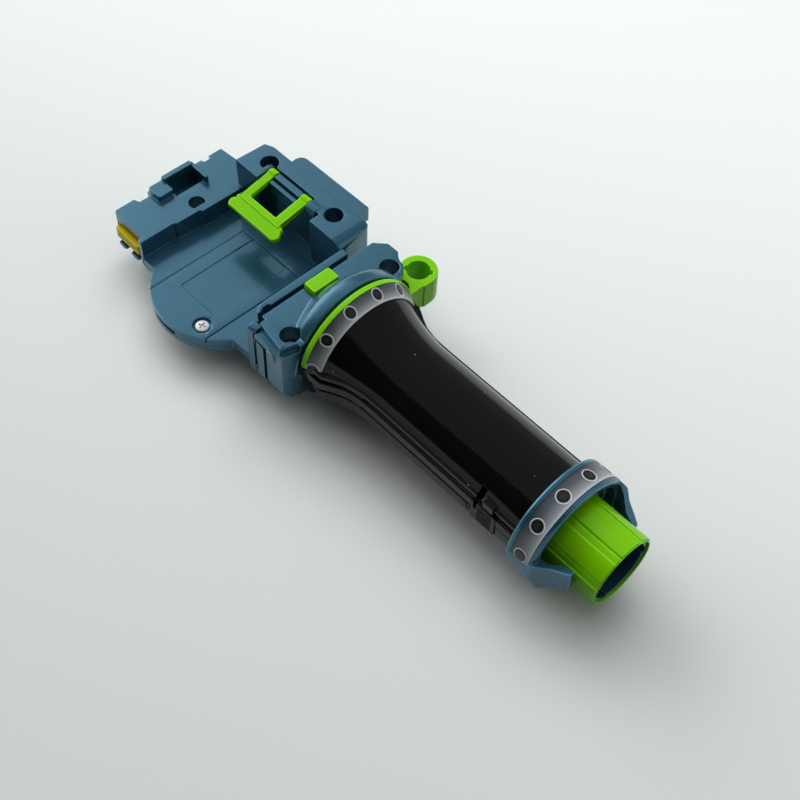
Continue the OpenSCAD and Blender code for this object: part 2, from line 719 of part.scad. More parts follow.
module head_upper_shell() {
    color(blue) placed() difference() {
        union() {
            difference() {
                union() {
                    plate(parting_z, -floor_z) floor_outline();
                    plate(parting_z, rail_top) rail_outline();
                    intersection() {
                        plate(parting_z, 30) box_outline();
                        along_y(0, 40) box_side();
                    }
                    plate(parting_z, wall_top) end_wall_outline();
                    rail_clip();
                }
                for (x = box_well_x) {
                    post(x, box_well_y, 2.5, 30, well_r);
                    post(x, box_well_y, parting_z - 1, 3, 1.35);
                }
                latch_room();
            }
            translate([0, latch_y, ear_z]) {
                round_x(pin_x[0] - 0.5, notch_x[0], ear_r);
                round_x(arm_right[1] + free, pin_x[1] + 1.6, ear_r);
            }
        }
        plate(-floor_z - cover_t, 0) disc_cover_outline(fit);
        block(strip_x[0], strip_x[1], disc_c[1] - 19, box_out_y + 9, parting_z + 0.6, parting_z + 0.6 + strip_h);
        block(disc_c[0] - 6.4, disc_c[0] + 4.1, disc_c[1] - disc_r - 1, disc_c[1] - disc_r + 2.8, parting_z - 1,
            parting_z + 1.7);
        post(disc_c[0], disc_c[1], parting_z - 1, parting_z + 0.6 + strip_h, pinion_r + 0.7);
        intersection() {
            post(rail_well[0], rail_well[1], -4, 30, rail_well_r);
            block(-80, rail_well[0] + 1.7, -20, 20, -20, 20);
        }
        post(rail_well[0] - 0.6, rail_well[1], parting_z - 1, 0, 1.35);
        block(-rail_x + 2.2, -rail_x + 8.4, -5, 6.6, -3, rail_top + 1);
        block(slide_x[0] - free, slide_x[1] + free, -40, slide_y + slide_deep + slide_travel + free,
            slide_z[0] - free, slide_z[1] + free);
        post(cover_screw_xy[0], cover_screw_xy[1], parting_z - 1, 0, 1.25);
        translate([0, latch_y, latch_z]) round_x(pin_x[0] - fit, pin_x[1] + fit, pin_r + run_fit);
    }
}

module head_lower_shell() {
    color(blue) placed() difference() {
        union() {
            plate(low_z, parting_z) {
                polygon([[-rail_x + 1, -near_y + 5], [rail_in, -near_y + 4], [-6, -near_y + 4], [-6, 15.5],
                    [-rail_x + 1, 15.5]]);
                polygon([[box_x[0] + 1, 14], [box_x[0] + 1, box_out_y - 1.4], [box_x[1] - 1, box_out_y - 1.4],
                    [box_x[1] - 1, 14]]);
                translate(disc_c) circle(disc_r - 2.4, $fn = 128);
            }
            post(disc_c[0], disc_c[1], -10.4, parting_z, disc_r);
            post(disc_c[0], disc_c[1], -14, low_z + 1, 14);
            for (i = [0:2]) intersection() {
                along_y(-near_y + 0.6, -near_y + 9) translate([foot_x + 7 * i, parting_z + 1]) circle(foot_r);
                plate(-20, parting_z) translate([foot_x + 7 * i - foot_r, -near_y]) square([2 * foot_r, 12]);
            }
        }
        post(disc_c[0], disc_c[1], -10.6, parting_z + 1, pinion_r + 0.7);
        post(disc_c[0], disc_c[1], -20, -10, 4);
        for (x = box_well_x) post(x, box_well_y, low_z + 1, parting_z + 1, 1.35);
        post(rail_well[0] - 0.6, rail_well[1], low_z + 1, parting_z + 1, 1.35);
        post(cover_screw_xy[0], cover_screw_xy[1], low_z + 1, parting_z + 1, 1.25);
    }
}

module disc_cover() {
    color(blue) placed() difference() {
        plate(-floor_z - cover_t, -floor_z) disc_cover_outline(0);
        post(cover_screw_xy[0], cover_screw_xy[1], -floor_z - cover_t + 0.6, 0, well_r);
        post(cover_screw_xy[0], cover_screw_xy[1], -20, 0, 1.5);
        block(cover_x[0] + 5.3, disc_c[0] + 0.36 * disc_r, disc_c[1] - 0.46 * disc_r, cover_y - 0.4,
            -floor_z - 0.3, 0);
    }
}

module cover_screw() {
    color(steel) placed() screw(cover_screw_xy[0], cover_screw_xy[1], -floor_z - 0.3, 2.25, 1.1, 1.2, 5);
}

module head_screws() {
    color(steel) placed() {
        for (x = box_well_x) screw(x, box_well_y, 4.5, 2.9, 2, 1.3, 12);
        intersection() {
            screw(rail_well[0] - 0.6, rail_well[1], -2.2, 2.2, 1.8, 1.3, 6);
            block(-80, rail_well[0] + 1.6, -20, 20, -20, 20);
        }
    }
}

bar_x = [box_x[0] + 7.9, box_x[1] - 10.4];
bar_y = box_out_y + guide_out;

module rear_guide_bar() {
    color(blue) placed() plate(2, 8) polygon([[bar_x[0], box_out_y], [bar_x[0], bar_y - 3.1], [bar_x[0] + 0.5, bar_y - 1.6],
        [bar_x[0] + 1.5, bar_y - 0.7], [bar_x[0] + 3, bar_y - 0.3], [bar_x[1] - 0.4, bar_y], [bar_x[1], bar_y - 0.4],
        [bar_x[1], box_out_y]]);
}

module latch_pin() {
    color(steel) placed() translate([0, latch_y, latch_z]) round_x(pin_x[0], pin_x[1], pin_r);
}

// Latch frame, drawn closed about its pin and then tilted
module latch_frame() {
    half = latch_t / 2;
    bar = latch_reach - 6.2;
    color(green) placed() translate([0, latch_y, latch_z]) rotate([latch_slope, 0, 0]) difference() {
        union() {
            for (arm = [arm_left, arm_right]) {
                block(arm[0], arm[1], -bar - 1, 0, -half + 0.3, half + 0.3);
                round_x(arm[0], arm[1], half + 0.7);
            }
            block(arm_left[0], arm_right[1], -bar - 1, -bar + 1.6, -half + 0.3, half + 0.3);
            block(arm_left[0] - 0.4, arm_right[1] + 1.6, -latch_reach + 0.6, -bar, -half, half);
            for (x = [arm_left[0] + 0.6, arm_right[1] + 0.8]) plate(-half, half)
                translate([x, -latch_reach + 2.6]) circle(2.1);
        }
        round_x(-80, 0, pin_r + run_fit);
    }
}

module lock_slide() {
    color(orange) placed() difference() {
        plate(slide_z[0], slide_z[1]) soft(slide_x[0], slide_x[1], slide_y, slide_y + slide_deep, 0.9);
        block(slide_x[0] - 1, slide_x[1] + 1, slide_y - 1, slide_y + 0.4, slide_z[0] + 1.8, slide_z[0] + 2.4);
    }
}

// Spindle with its pinion and the claw that carries the top

claw_top = -14.4;
claw_low = -17;

module spindle_shaft() {
    color(steel) placed() post(disc_c[0], disc_c[1], claw_low + 0.4, parting_z + 0.4 + strip_h, 1.5);
}

module drive_pinion() {
    teeth_z = parting_z + 0.8;
    color("#e8e6dc") placed() translate([disc_c[0], disc_c[1], 0]) difference() {
        union() {
            post(0, 0, -10.3, teeth_z + 1.2, pinion_r - 1.5);
            for (i = [0:pinion_teeth - 1]) rotate(i * 360 / pinion_teeth) plate(teeth_z, teeth_z + 1.2)
                polygon([[pinion_r - 2.2, -0.85], [pinion_r - 0.2, -0.35], [pinion_r, 0], [pinion_r - 0.2, 0.35],
                    [pinion_r - 2.2, 0.85]]);
        }
        post(0, 0, -20, 0, 1.5 + run_fit);
    }
}

module claw() {
    color(green) placed() translate([disc_c[0], disc_c[1], 0]) difference() {
        union() {
            post(0, 0, claw_low, claw_top, claw_r);
            post(0, 0, claw_top - 1, -10.4, 4 - run_fit);
            for (i = [0:prongs - 1]) rotate(i * 360 / prongs) intersection() {
                difference() {
                    post(0, 0, rest_z, claw_low + 1, claw_r - 0.3);
                    post(0, 0, rest_z - 1, claw_low - eps, claw_r - 2.9);
                }
                along_y(0, 20) polygon([[-3.4, claw_low + 1], [3.4, claw_low + 1], [3.4, claw_low - 0.6],
                    [5, rest_z + 0.8], [5, rest_z], [-3.4, rest_z]]);
            }
        }
        post(0, 0, claw_low + 0.3, 0, 1.5 + run_fit);
    }
}

grip_upper_shell();
grip_lower_shell();
seam_catch();
grip_screws();
neck_ring();
neck_band();
butt_ring();
butt_band();
holder_tube();
tube_liner();
collar_upper_housing();
collar_lower_housing();
collar_screws();
release_button();
button_spring();
dock_tongue();
head_upper_shell();
head_lower_shell();
disc_cover();
cover_screw();
head_screws();
rear_guide_bar();
latch_pin();
latch_frame();
lock_slide();
spindle_shaft();
drive_pinion();
claw();
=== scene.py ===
import json
import math
import bmesh
import bpy
from mathutils import Matrix, Vector
from mathutils.bvhtree import BVHTree


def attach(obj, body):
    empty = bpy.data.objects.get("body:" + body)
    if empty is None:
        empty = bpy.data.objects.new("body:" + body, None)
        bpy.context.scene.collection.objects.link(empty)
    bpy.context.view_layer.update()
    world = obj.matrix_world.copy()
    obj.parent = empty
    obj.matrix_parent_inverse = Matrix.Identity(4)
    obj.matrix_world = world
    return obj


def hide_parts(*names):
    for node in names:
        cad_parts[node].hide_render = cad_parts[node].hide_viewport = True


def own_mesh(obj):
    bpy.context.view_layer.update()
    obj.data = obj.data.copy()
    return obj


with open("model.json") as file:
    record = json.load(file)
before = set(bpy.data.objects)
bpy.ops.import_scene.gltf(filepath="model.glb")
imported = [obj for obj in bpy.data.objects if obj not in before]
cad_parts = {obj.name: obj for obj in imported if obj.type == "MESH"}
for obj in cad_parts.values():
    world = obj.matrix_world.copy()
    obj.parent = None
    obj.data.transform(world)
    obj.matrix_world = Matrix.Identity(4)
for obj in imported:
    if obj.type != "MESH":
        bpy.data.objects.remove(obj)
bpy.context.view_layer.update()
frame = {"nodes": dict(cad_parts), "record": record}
nodes = frame["nodes"]
bodyOf = {node: body for body, names in frame["record"]["behaviour"]["bodies"].items() for node in names}
slotOf = {part["node"]: part["material_slot"] for part in frame["record"]["subparts"]}
mm = 0.001

# the part is drawn in mm from the grip's axis, at the face where head and collar meet;
# this is where that drawing has the frame's origin
drawn = Vector((28.05, 0.05, -20.3))


def at(x, y, z):
    return (Vector((x, y, z)) - drawn) * mm


# Nodes written as Python

class Sock:
    def __init__(self, tree, out):
        self.tree = tree
        self.out = out

    def calc(self, operation, other=None, flip=False):
        pair = [self] if other is None else [self, other]
        if flip:
            pair.reverse()
        return self.tree.node("ShaderNodeMath", {"operation": operation}, dict(enumerate(pair)))

    def __add__(self, other):
        return self.calc("ADD", other)

    def __radd__(self, other):
        return self.calc("ADD", other, True)

    def __sub__(self, other):
        return self.calc("SUBTRACT", other)

    def __rsub__(self, other):
        return self.calc("SUBTRACT", other, True)

    def __mul__(self, other):
        return self.calc("MULTIPLY", other)

    def __rmul__(self, other):
        return self.calc("MULTIPLY", other, True)

    def __truediv__(self, other):
        return self.calc("DIVIDE", other)

    def __pow__(self, other):
        return self.calc("POWER", other)

    def __lt__(self, other):
        return self.calc("LESS_THAN", other)

    def __gt__(self, other):
        return self.calc("GREATER_THAN", other)


class Tree:
    def __init__(self, tree):
        self.tree = tree

    def node(self, kind, settings=None, values=None, out=0):
        made = self.tree.nodes.new(kind)
        for name, value in (settings or {}).items():
            if name == "stops":
                ramp = made.color_ramp
                while len(ramp.elements) < len(value):
                    ramp.elements.new(0.5)
                for element, (place, shade) in zip(ramp.elements, value):
                    element.position = place
                    element.color = shade
            else:
                setattr(made, name, value)
        for name, value in (values or {}).items():
            for one in value if isinstance(value, list) else [value]:
                if isinstance(one, Sock):
                    self.tree.links.new(one.out, made.inputs[name])
                else:
                    made.inputs[name].default_value = one
        return Sock(self, made.outputs[out]) if len(made.outputs) else None

    def noise(self, place, scale, detail):
        return self.node("ShaderNodeTexNoise", {}, {"Vector": place, "Scale": scale, "Detail": detail})

    def bump(self, height, strength, depth):
        return self.node("ShaderNodeBump", {}, {"Strength": strength, "Distance": depth, "Height": height})

    def ease(self, value, low, high):
        return self.node("ShaderNodeMapRange", {"interpolation_type": "SMOOTHSTEP"},
            {"Value": value, "From Min": low, "From Max": high})

    def split(self, vector):
        made = self.tree.nodes.new("ShaderNodeSeparateXYZ")
        self.tree.links.new(vector.out, made.inputs[0])
        return [Sock(self, made.outputs[i]) for i in range(3)]


def colour(r, g, b):
    linear = [v / 255 / 12.92 if v <= 10 else ((v / 255 + 0.055) / 1.055) ** 2.4 for v in (r, g, b)]
    return (*linear, 1)


def shaded(tint, factor, lift=0.0):
    return (*(min(1, v * factor + lift) for v in tint[:3]), 1)


# Materials, all laid out on Object coordinates

def newMaterial(name):
    made = bpy.data.materials.new(name)
    made.use_nodes = True
    made.node_tree.nodes.clear()
    tree = Tree(made.node_tree)
    return made, tree, tree.node("ShaderNodeTexCoord", out=3)


def finishMaterial(tree, values):
    shader = tree.node("ShaderNodeBsdfPrincipled", {}, values)
    tree.node("ShaderNodeOutputMaterial", {}, {"Surface": shader})


def mixColour(tree, factor, one, two):
    return tree.node("ShaderNodeMix", {"data_type": "RGBA", "clamp_factor": True},
        {0: factor, 6: one, 7: two}, out=2)


def specks(tree, place, scale, size, share):
    near = tree.node("ShaderNodeTexVoronoi", {}, {"Vector": place, "Scale": scale})
    pick = tree.node("ShaderNodeTexVoronoi", {}, {"Vector": place, "Scale": scale}, out=1)
    return (near < size) * (tree.split(pick)[0] > 1 - share)


plasticKinds = {
    "bluePlastic": {"tint": colour(55, 104, 128), "rough": 0.27, "grain": 0.05, "worn": 0.6,
        "haze": 0.07, "dust": 0.05, "pearl": 0.6, "coat": 0.35, "shine": 0.3},
    "limePlastic": {"tint": colour(126, 206, 0), "rough": 0.2, "grain": 0.03, "worn": 0.4,
        "haze": 0.05, "dust": 0.03, "pearl": 0.0, "coat": 0.0, "shine": 0.14},
    "blackPlastic": {"tint": colour(13, 13, 14), "rough": 0.07, "grain": 0.012, "worn": 0.03,
        "haze": 0.05, "dust": 0.06, "pearl": 0.0, "coat": 0.0, "shine": 0.27},
    "amberPlastic": {"tint": colour(236, 208, 0), "rough": 0.2, "grain": 0.03, "worn": 0.4,
        "haze": 0.05, "dust": 0.03, "pearl": 0.0, "coat": 0.0, "shine": 0.14},
    "nylon": {"tint": colour(228, 224, 212), "rough": 0.45, "grain": 0.05, "worn": 0.1,
        "haze": 0.05, "dust": 0.0, "pearl": 0.0, "coat": 0.0, "shine": 0.4},
}
# what the plastics share: the scales count features per metre
mouldedFinish = {
    "cloudScale": 70.0, "grainScale": 2600.0, "grainDepth": 0.0002,
    "scratchScale": (40.0, 2200.0, 900.0), "scratchTurn": (0.3, 0.5, 0.7), "scratchStart": 0.7,
    "scratchRough": 0.08,
    "dustScale": 420.0, "dustSize": 0.07, "dustTint": colour(205, 208, 204), "dustCover": 0.7,
    # the gain and lift lighten the rounded edges: edge wear and a painted highlight
    "darkest": 0.9, "wornGain": 1.6, "wornLift": 0.025, "wornRough": 0.05, "coatRough": 0.05,
}


def plastic(name, tint, rough, grain, worn, haze, dust, pearl, coat, shine):
    made, t, place = newMaterial(name)
    f = mouldedFinish
    cloud = t.noise(place, f["cloudScale"], 4.0)
    fine = t.noise(place, f["grainScale"], 2.0)
    stretched = t.node("ShaderNodeMapping", {}, {"Vector": place, "Scale": f["scratchScale"],
        "Rotation": f["scratchTurn"]})
    scratch = t.noise(stretched, 1.0, 1.0)
    edge = t.node("ShaderNodeAttribute", {"attribute_name": "edgeWear"}, out=2)
    base = mixColour(t, cloud, shaded(tint, f["darkest"]), tint)
    # the bevelled edges get a lighter tint: edge wear, and a painted highlight along the rounded edges
    base = mixColour(t, edge * worn * (0.5 + cloud), base, shaded(tint, f["wornGain"], f["wornLift"]))
    dusty = specks(t, place, f["dustScale"], f["dustSize"], dust)
    base = mixColour(t, dusty * f["dustCover"], base, f["dustTint"])
    roughness = rough + (cloud - 0.5) * haze
    roughness = roughness + (scratch > f["scratchStart"]) * f["scratchRough"] + edge * f["wornRough"]
    bump = t.bump(fine, grain, f["grainDepth"])
    finishMaterial(t, {"Base Color": base, "Roughness": roughness, "Normal": bump, "IOR": 1.5,
        "Specular IOR Level": shine, "Metallic": pearl, "Coat Weight": coat,
        "Coat Roughness": f["coatRough"]})
    return made


steel = {"low": colour(190, 192, 194), "high": colour(236, 238, 238), "rough": 0.2, "roughSpread": 0.2,
    "metallic": 0.45, "grainScale": 1800.0, "grain": 0.08, "grainDepth": 0.0002}


def plated(name, s):
    made, t, place = newMaterial(name)
    fine = t.noise(place, s["grainScale"], 3.0)
    bump = t.bump(fine, s["grain"], s["grainDepth"])
    finishMaterial(t, {"Base Color": mixColour(t, fine, s["low"], s["high"]), "Metallic": s["metallic"],
        "Roughness": s["rough"] + fine * s["roughSpread"], "Normal": bump})
    return made


inks = {"whiteInk": colour(232, 234, 234), "blackInk": colour(12, 12, 14), "greyInk": colour(36, 37, 42)}
inkFinish = {"grainScale": 3200.0, "darkest": 0.8, "rough": 0.3, "roughSpread": 0.1}


def ink(name, shade):
    made, t, place = newMaterial(name)
    fine = t.noise(place, inkFinish["grainScale"], 2.0)
    base = mixColour(t, fine, shaded(shade, inkFinish["darkest"]), shade)
    finishMaterial(t, {"Base Color": base, "Roughness": inkFinish["rough"] + fine * inkFinish["roughSpread"]})
    return made


# the two bands carry a printed shading that runs from dark at the head side to bright at the butt side
bandPrints = {
    "neck_band": {"from": 20.4, "to": 25.1, "stops": [(0.0, colour(50, 60, 66)), (0.45, colour(98, 105, 110)),
        (0.85, colour(160, 166, 170)), (0.95, colour(205, 208, 208))]},
    "butt_band": {"from": 107.5, "to": 114.3, "stops": [(0.0, colour(45, 56, 63)), (0.4, colour(84, 91, 97)),
        (0.8, colour(142, 149, 156)), (0.97, colour(190, 196, 201))]},
}
bandFinish = {"grainScale": 2400.0, "grain": 0.25, "grainTint": colour(70, 74, 80), "rough": 0.22,
    "roughSpread": 0.14, "dustScale": 500.0, "dustSize": 0.07, "dust": 0.06, "dustCover": 0.6,
    "dustTint": colour(215, 217, 215)}


def bandMaterial(name, start, end, stops):
    made, t, place = newMaterial(name)
    f = bandFinish
    along = t.split(place)[0]
    across = t.node("ShaderNodeMapRange", {}, {"Value": along, "From Min": start, "From Max": end})
    shade = t.node("ShaderNodeValToRGB", {"stops": stops}, {0: across})
    grain = t.noise(place, f["grainScale"], 2.0)
    base = mixColour(t, grain * f["grain"], shade, f["grainTint"])
    dusty = specks(t, place, f["dustScale"], f["dustSize"], f["dust"])
    base = mixColour(t, dusty * f["dustCover"], base, f["dustTint"])
    finishMaterial(t, {"Base Color": base, "Roughness": f["rough"] + grain * f["roughSpread"], "IOR": 1.5})
    return made


materials = {name: plastic(name, **values) for name, values in plasticKinds.items()}
materials["platedSteel"] = plated("platedSteel", steel)
for name, shade in inks.items():
    materials[name] = ink(name, shade)
for node, values in bandPrints.items():
    start, end = (at(values[side], 0, 0).x for side in ("from", "to"))
    materials[node] = bandMaterial(node + "Print", start, end, values["stops"])
slotMaterials = {"black_plastic": "blackPlastic", "blue_plastic": "bluePlastic",
    "green_plastic": "limePlastic", "orange_plastic": "amberPlastic", "screw_steel": "platedSteel",
    "pinion_nylon": "nylon"}


def materialFor(node):
    return materials[node] if node in materials else materials[slotMaterials[slotOf[node]]]


print("materials", len(materials))

# Moulded pieces: each CAD node gets a copy with rounded edges and smooth shading

# widths and the stray limit are in mm, angles in degrees
rounding = {"width": 0.28, "segments": 2, "sharp": 35, "flat": 0.6, "smooth": 33, "stray": 0.45,
    "merge": 0.001, "evenWeight": 60}
ownWidth = {"latch_frame": 0.55, "release_button": 0.6, "lock_slide": 0.45, "neck_ring": 0.4,
    "butt_ring": 0.4, "rear_guide_bar": 0.35, "holder_tube": 0.2, "tube_liner": 0.15, "neck_band": 0.08,
    "butt_band": 0.08, "drive_pinion": 0.0, "seam_catch": 0.15, "latch_pin": 0.1, "spindle_shaft": 0.15,
    "claw": 0.4}


def addPiece(name, mesh, node, replaced=True):
    made = bpy.data.objects.new(name, mesh)
    bpy.context.scene.collection.objects.link(made)
    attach(made, bodyOf[node])
    if replaced:
        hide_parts(node)
    return made


def pieceName(node):
    first, *rest = node.split("_")
    return first + "".join(word.capitalize() for word in rest)


def folded(edge, angle):
    return len(edge.link_faces) == 2 and edge.calc_face_angle(0) > math.radians(angle)


def shadeSmooth(b, angle):
    for face in b.faces:
        face.smooth = True
    for edge in b.edges:
        edge.smooth = len(edge.link_faces) == 2 and edge.calc_face_angle(0) < math.radians(angle)


def smoothMesh(mesh, angle=rounding["smooth"]):
    b = bmesh.new()
    b.from_mesh(mesh)
    shadeSmooth(b, angle)
    b.to_mesh(mesh)
    b.free()


# a rounded corner never stands past the node that it stands for
def keepInside(b, points):
    low = [min(p.co[i] for p in points) for i in range(3)]
    high = [max(p.co[i] for p in points) for i in range(3)]
    for vert in b.verts:
        vert.co = [min(max(vert.co[i], low[i]), high[i]) for i in range(3)]


def roundEdges(b, width, points):
    surface = BVHTree.FromBMesh(b)
    worn = b.faces.layers.float.new("edgeWear")
    if not width:
        return
    edges = [edge for edge in b.edges if folded(edge, rounding["sharp"])]
    made = bmesh.ops.bevel(b, geom=edges, offset=width, offset_type="OFFSET",
        segments=rounding["segments"], profile=0.5, affect="EDGES", clamp_overlap=False)
    # the bevel's faces are marked for the lighter edge tint, which is wear and a painted highlight
    for face in made["faces"]:
        face[worn] = 1
    for vert in b.verts:
        place, _, _, far = surface.find_nearest(vert.co)
        if far > rounding["stray"] * mm:
            vert.co = place
    bmesh.ops.remove_doubles(b, verts=b.verts, dist=rounding["merge"] * mm)
    keepInside(b, points)


def roundedPiece(node):
    source = nodes[node].data
    b = bmesh.new()
    b.from_mesh(source)
    bmesh.ops.remove_doubles(b, verts=b.verts, dist=2 * rounding["merge"] * mm)
    bmesh.ops.dissolve_limit(b, angle_limit=math.radians(rounding["flat"]), verts=b.verts, edges=b.edges)
    bmesh.ops.connect_verts_concave(b, faces=b.faces)
    roundEdges(b, ownWidth.get(node, rounding["width"]) * mm, source.vertices)
    shadeSmooth(b, rounding["smooth"])
    mesh = bpy.data.meshes.new(pieceName(node))
    b.to_mesh(mesh)
    b.free()
    mesh.materials.append(materialFor(node))
    even = addPiece(pieceName(node), mesh, node).modifiers.new("evenNormals", "WEIGHTED_NORMAL")
    even.keep_sharp = True
    even.weight = rounding["evenWeight"]


grownNodes = ("button_spring", "collar_screws", "grip_screws", "cover_screw", "head_screws")
for node in nodes:
    if node not in grownNodes:
        roundedPiece(node)
print("moulded pieces", len(nodes) - len(grownNodes))

# Geometry Nodes

class GrowTree(Tree):
    def __init__(self, name, sizes):
        group = bpy.data.node_groups.new(name, "GeometryNodeTree")
        group.is_modifier = True
        super().__init__(group)
        group.interface.new_socket("Geometry", in_out="INPUT", socket_type="NodeSocketGeometry")
        group.interface.new_socket("Geometry", in_out="OUTPUT", socket_type="NodeSocketGeometry")
        for label, value in sizes.items():
            kind = "NodeSocketInt" if isinstance(value, int) else "NodeSocketFloat"
            group.interface.new_socket(label, in_out="INPUT", socket_type=kind).default_value = value
        start = group.nodes.new("NodeGroupInput")
        self.size = {label: Sock(self, start.outputs[label]) for label in sizes}
        self.start = Sock(self, start.outputs["Geometry"])

    def vector(self, x, y, z):
        return self.node("ShaderNodeCombineXYZ", {}, {0: x, 1: y, 2: z})

    def move(self, geometry, place):
        return self.node("GeometryNodeSetPosition", {}, {"Geometry": geometry, "Position": place})

    def lift(self, geometry, height):
        return self.node("GeometryNodeTransform", {},
            {"Geometry": geometry, "Translation": self.vector(0.0, 0.0, height)})

    def circle(self, resolution, radius):
        return self.node("GeometryNodeCurvePrimitiveCircle", {}, {"Resolution": resolution, "Radius": radius})

    def sweep(self, curve, profile, capped):
        return self.node("GeometryNodeCurveToMesh", {},
            {"Curve": curve, "Profile Curve": profile, "Fill Caps": capped})

    def real(self, geometry, material):
        geometry = self.node("GeometryNodeRealizeInstances", {}, {"Geometry": geometry})
        return self.node("GeometryNodeSetMaterial", {}, {"Geometry": geometry, "Material": material})

    def finish(self, parts):
        if len(parts) > 1:
            parts = [self.node("GeometryNodeJoinGeometry", {}, {"Geometry": parts})]
        end = self.tree.nodes.new("NodeGroupOutput")
        self.tree.links.new(parts[0].out, end.inputs[0])
        return self


def grow(name, tree, sizes, spots=((0, 0, 0),)):
    mesh = bpy.data.meshes.new(name + "Spots")
    mesh.from_pydata([tuple(spot) for spot in spots], [], [])
    seed = bpy.data.objects.new(name + "Spots", mesh)
    bpy.context.scene.collection.objects.link(seed)
    modifier = seed.modifiers.new("grow", "NODES")
    modifier.node_group = tree.tree
    for item in tree.tree.interface.items_tree:
        if item.in_out == "INPUT" and item.name in sizes:
            modifier[item.identifier] = sizes[item.name]
    depsgraph = bpy.context.evaluated_depsgraph_get()
    made = bpy.data.meshes.new_from_object(seed.evaluated_get(depsgraph), depsgraph=depsgraph)
    made.name = name
    bpy.data.objects.remove(seed)
    return made


# takes off what lies behind the plane and closes the cut
def cutMesh(mesh, place, normal):
    b = bmesh.new()
    b.from_mesh(mesh)
    cut = bmesh.ops.bisect_plane(b, geom=b.verts[:] + b.edges[:] + b.faces[:], plane_co=place,
        plane_no=normal, clear_inner=True)
    bmesh.ops.holes_fill(b, edges=[e for e in cut["geom_cut"] if isinstance(e, bmesh.types.BMEdge)])
    bmesh.ops.recalc_face_normals(b, faces=b.faces)
    b.to_mesh(mesh)
    b.free()


# Printed bolt heads, laid out flat along the band and then rolled round it

markSizes = {"Count": 4, "First Angle": 2.3, "Step": 0.5, "Centre": 0.0, "Start": 0.0, "End": 1.0,
    "Start Radius": 0.02, "End Radius": 0.02, "Ring": 0.002, "Line": 0.0003, "Disc": 0.0015,
    "Hexagon": 0.001, "Height": 0.00005}
# mm and degrees; radii are the band's at its two edges, base is where the seam cuts the last marks
bandMarks = {
    "neck_band": {"centre": 22.55, "radii": (24.0, 21.3), "ring": 2.1, "line": 0.27, "disc": 1.5,
        "hexagon": 0.9, "height": 0.04, "firstAngle": 132.9, "step": 28.6, "count": 4,
        "halves": (161.4, 18.6), "base": 6.9, "halfDisc": False},
    "butt_band": {"centre": 110.9, "radii": (20.3, 20.3), "ring": 2.4, "line": 0.28, "disc": 1.85,
        "hexagon": 1.2, "height": 0.04, "firstAngle": 134.8, "step": 32.2, "count": 4,
        "halves": (167.6, 6.0), "base": 2.6, "halfDisc": True},
}
# corners, radius, height and ink of the two flat shapes in a mark
markDiscs = ((36, "Disc", 1.0, "blackInk"), (6, "Hexagon", 1.5, "greyInk"))


def makeMarkTree(withDisc):
    t = GrowTree("boltMarks" if withDisc else "ringMarks", markSizes)
    s = t.size

    def radiusAt(along):
        share = (along - s["Start"]) / (s["End"] - s["Start"])
        return s["Start Radius"] + share * (s["End Radius"] - s["Start Radius"])

    middle = radiusAt(s["Centre"])
    line = t.node("GeometryNodeMeshLine", {},
        {"Count": s["Count"], "Offset": t.vector(0.0, s["Step"] * middle, 0.0)})
    x, arc, z = t.split(t.node("GeometryNodeInputPosition"))
    angle = s["First Angle"] - arc / middle
    radius = radiusAt(s["Centre"] + x) + z
    rolled = t.vector(s["Centre"] + x, radius * angle.calc("COSINE") - drawn.y * mm,
        radius * angle.calc("SINE") - drawn.z * mm)

    def placed(shape, material):
        spread = t.node("GeometryNodeInstanceOnPoints", {}, {"Points": line, "Instance": shape})
        spread = t.node("GeometryNodeRealizeInstances", {}, {"Geometry": spread})
        return t.real(t.move(spread, rolled), material)

    half = s["Line"] * 0.5
    ring = t.sweep(t.circle(48, s["Ring"] - half), t.circle(8, half), False)
    ring = t.move(ring, t.vector(x, arc, z * 0.5))  # the line stands half as high as it is wide
    parts = [placed(ring, materials["whiteInk"])]
    if withDisc:
        for corners, size, height, inkName in markDiscs:
            disc = t.node("GeometryNodeMeshCylinder", {"fill_type": "TRIANGLE_FAN"}, {"Vertices": corners,
                "Fill Segments": 4, "Radius": s[size], "Depth": s["Height"] * (2 * height)})
            parts.append(placed(disc, materials[inkName]))
    return t.finish(parts)


markTrees = {withDisc: makeMarkTree(withDisc) for withDisc in (True, False)}


def printMarks(node, values):
    span = bandPrints[node]
    sizes = {"Centre": at(values["centre"], 0, 0).x, "Start": at(span["from"], 0, 0).x,
        "End": at(span["to"], 0, 0).x, "Start Radius": values["radii"][0] * mm,
        "End Radius": values["radii"][1] * mm}
    for label in ("Ring", "Line", "Disc", "Hexagon", "Height"):
        sizes[label] = values[label.lower()] * mm
    name = pieceName(node) + "Marks"
    row = {"Count": values["count"], "First Angle": math.radians(values["firstAngle"]),
        "Step": math.radians(values["step"])}
    whole = grow(name, markTrees[True], sizes | row)
    smoothMesh(whole)
    addPiece(name, whole, node, replaced=False)
    for i, angle in enumerate(values["halves"]):
        single = {"Count": 1, "Step": 0.1, "First Angle": math.radians(angle)}
        half = grow(name + "Half" + str(i), markTrees[values["halfDisc"]], sizes | single)
        cutMesh(half, at(0, 0, values["base"]), (0, 0, 1))
        smoothMesh(half)
        addPiece(half.name, half, node, replaced=False)


for node, values in bandMarks.items():
    printMarks(node, values)
print("printed marks", len(bandMarks))

# Screws

screwSizes = {"Head": 0.0029, "Head Height": 0.002, "Dome": 0.0003, "Shank": 0.0013, "Length": 0.012,
    "Slot": 0.0035, "Slot Width": 0.0008, "Slot Depth": 0.0012, "Pitch": 0.0012, "Tilt": 0.0, "Turn": 0.35}
screwFaces = {"headSides": 40, "headSteps": 4, "topSteps": 6, "shankSides": 20, "threadSteps": 14,
    "crestSides": 4, "pitSides": 16}
# shares of the shank's radius
threadShares = {"root": 0.82, "crest": 0.17}
# the recess's length and width are shares of the head's radius, its depth and the dome of its height
recessShares = {"length": 1.25, "width": 0.26, "depth": 0.45, "dome": 0.12}
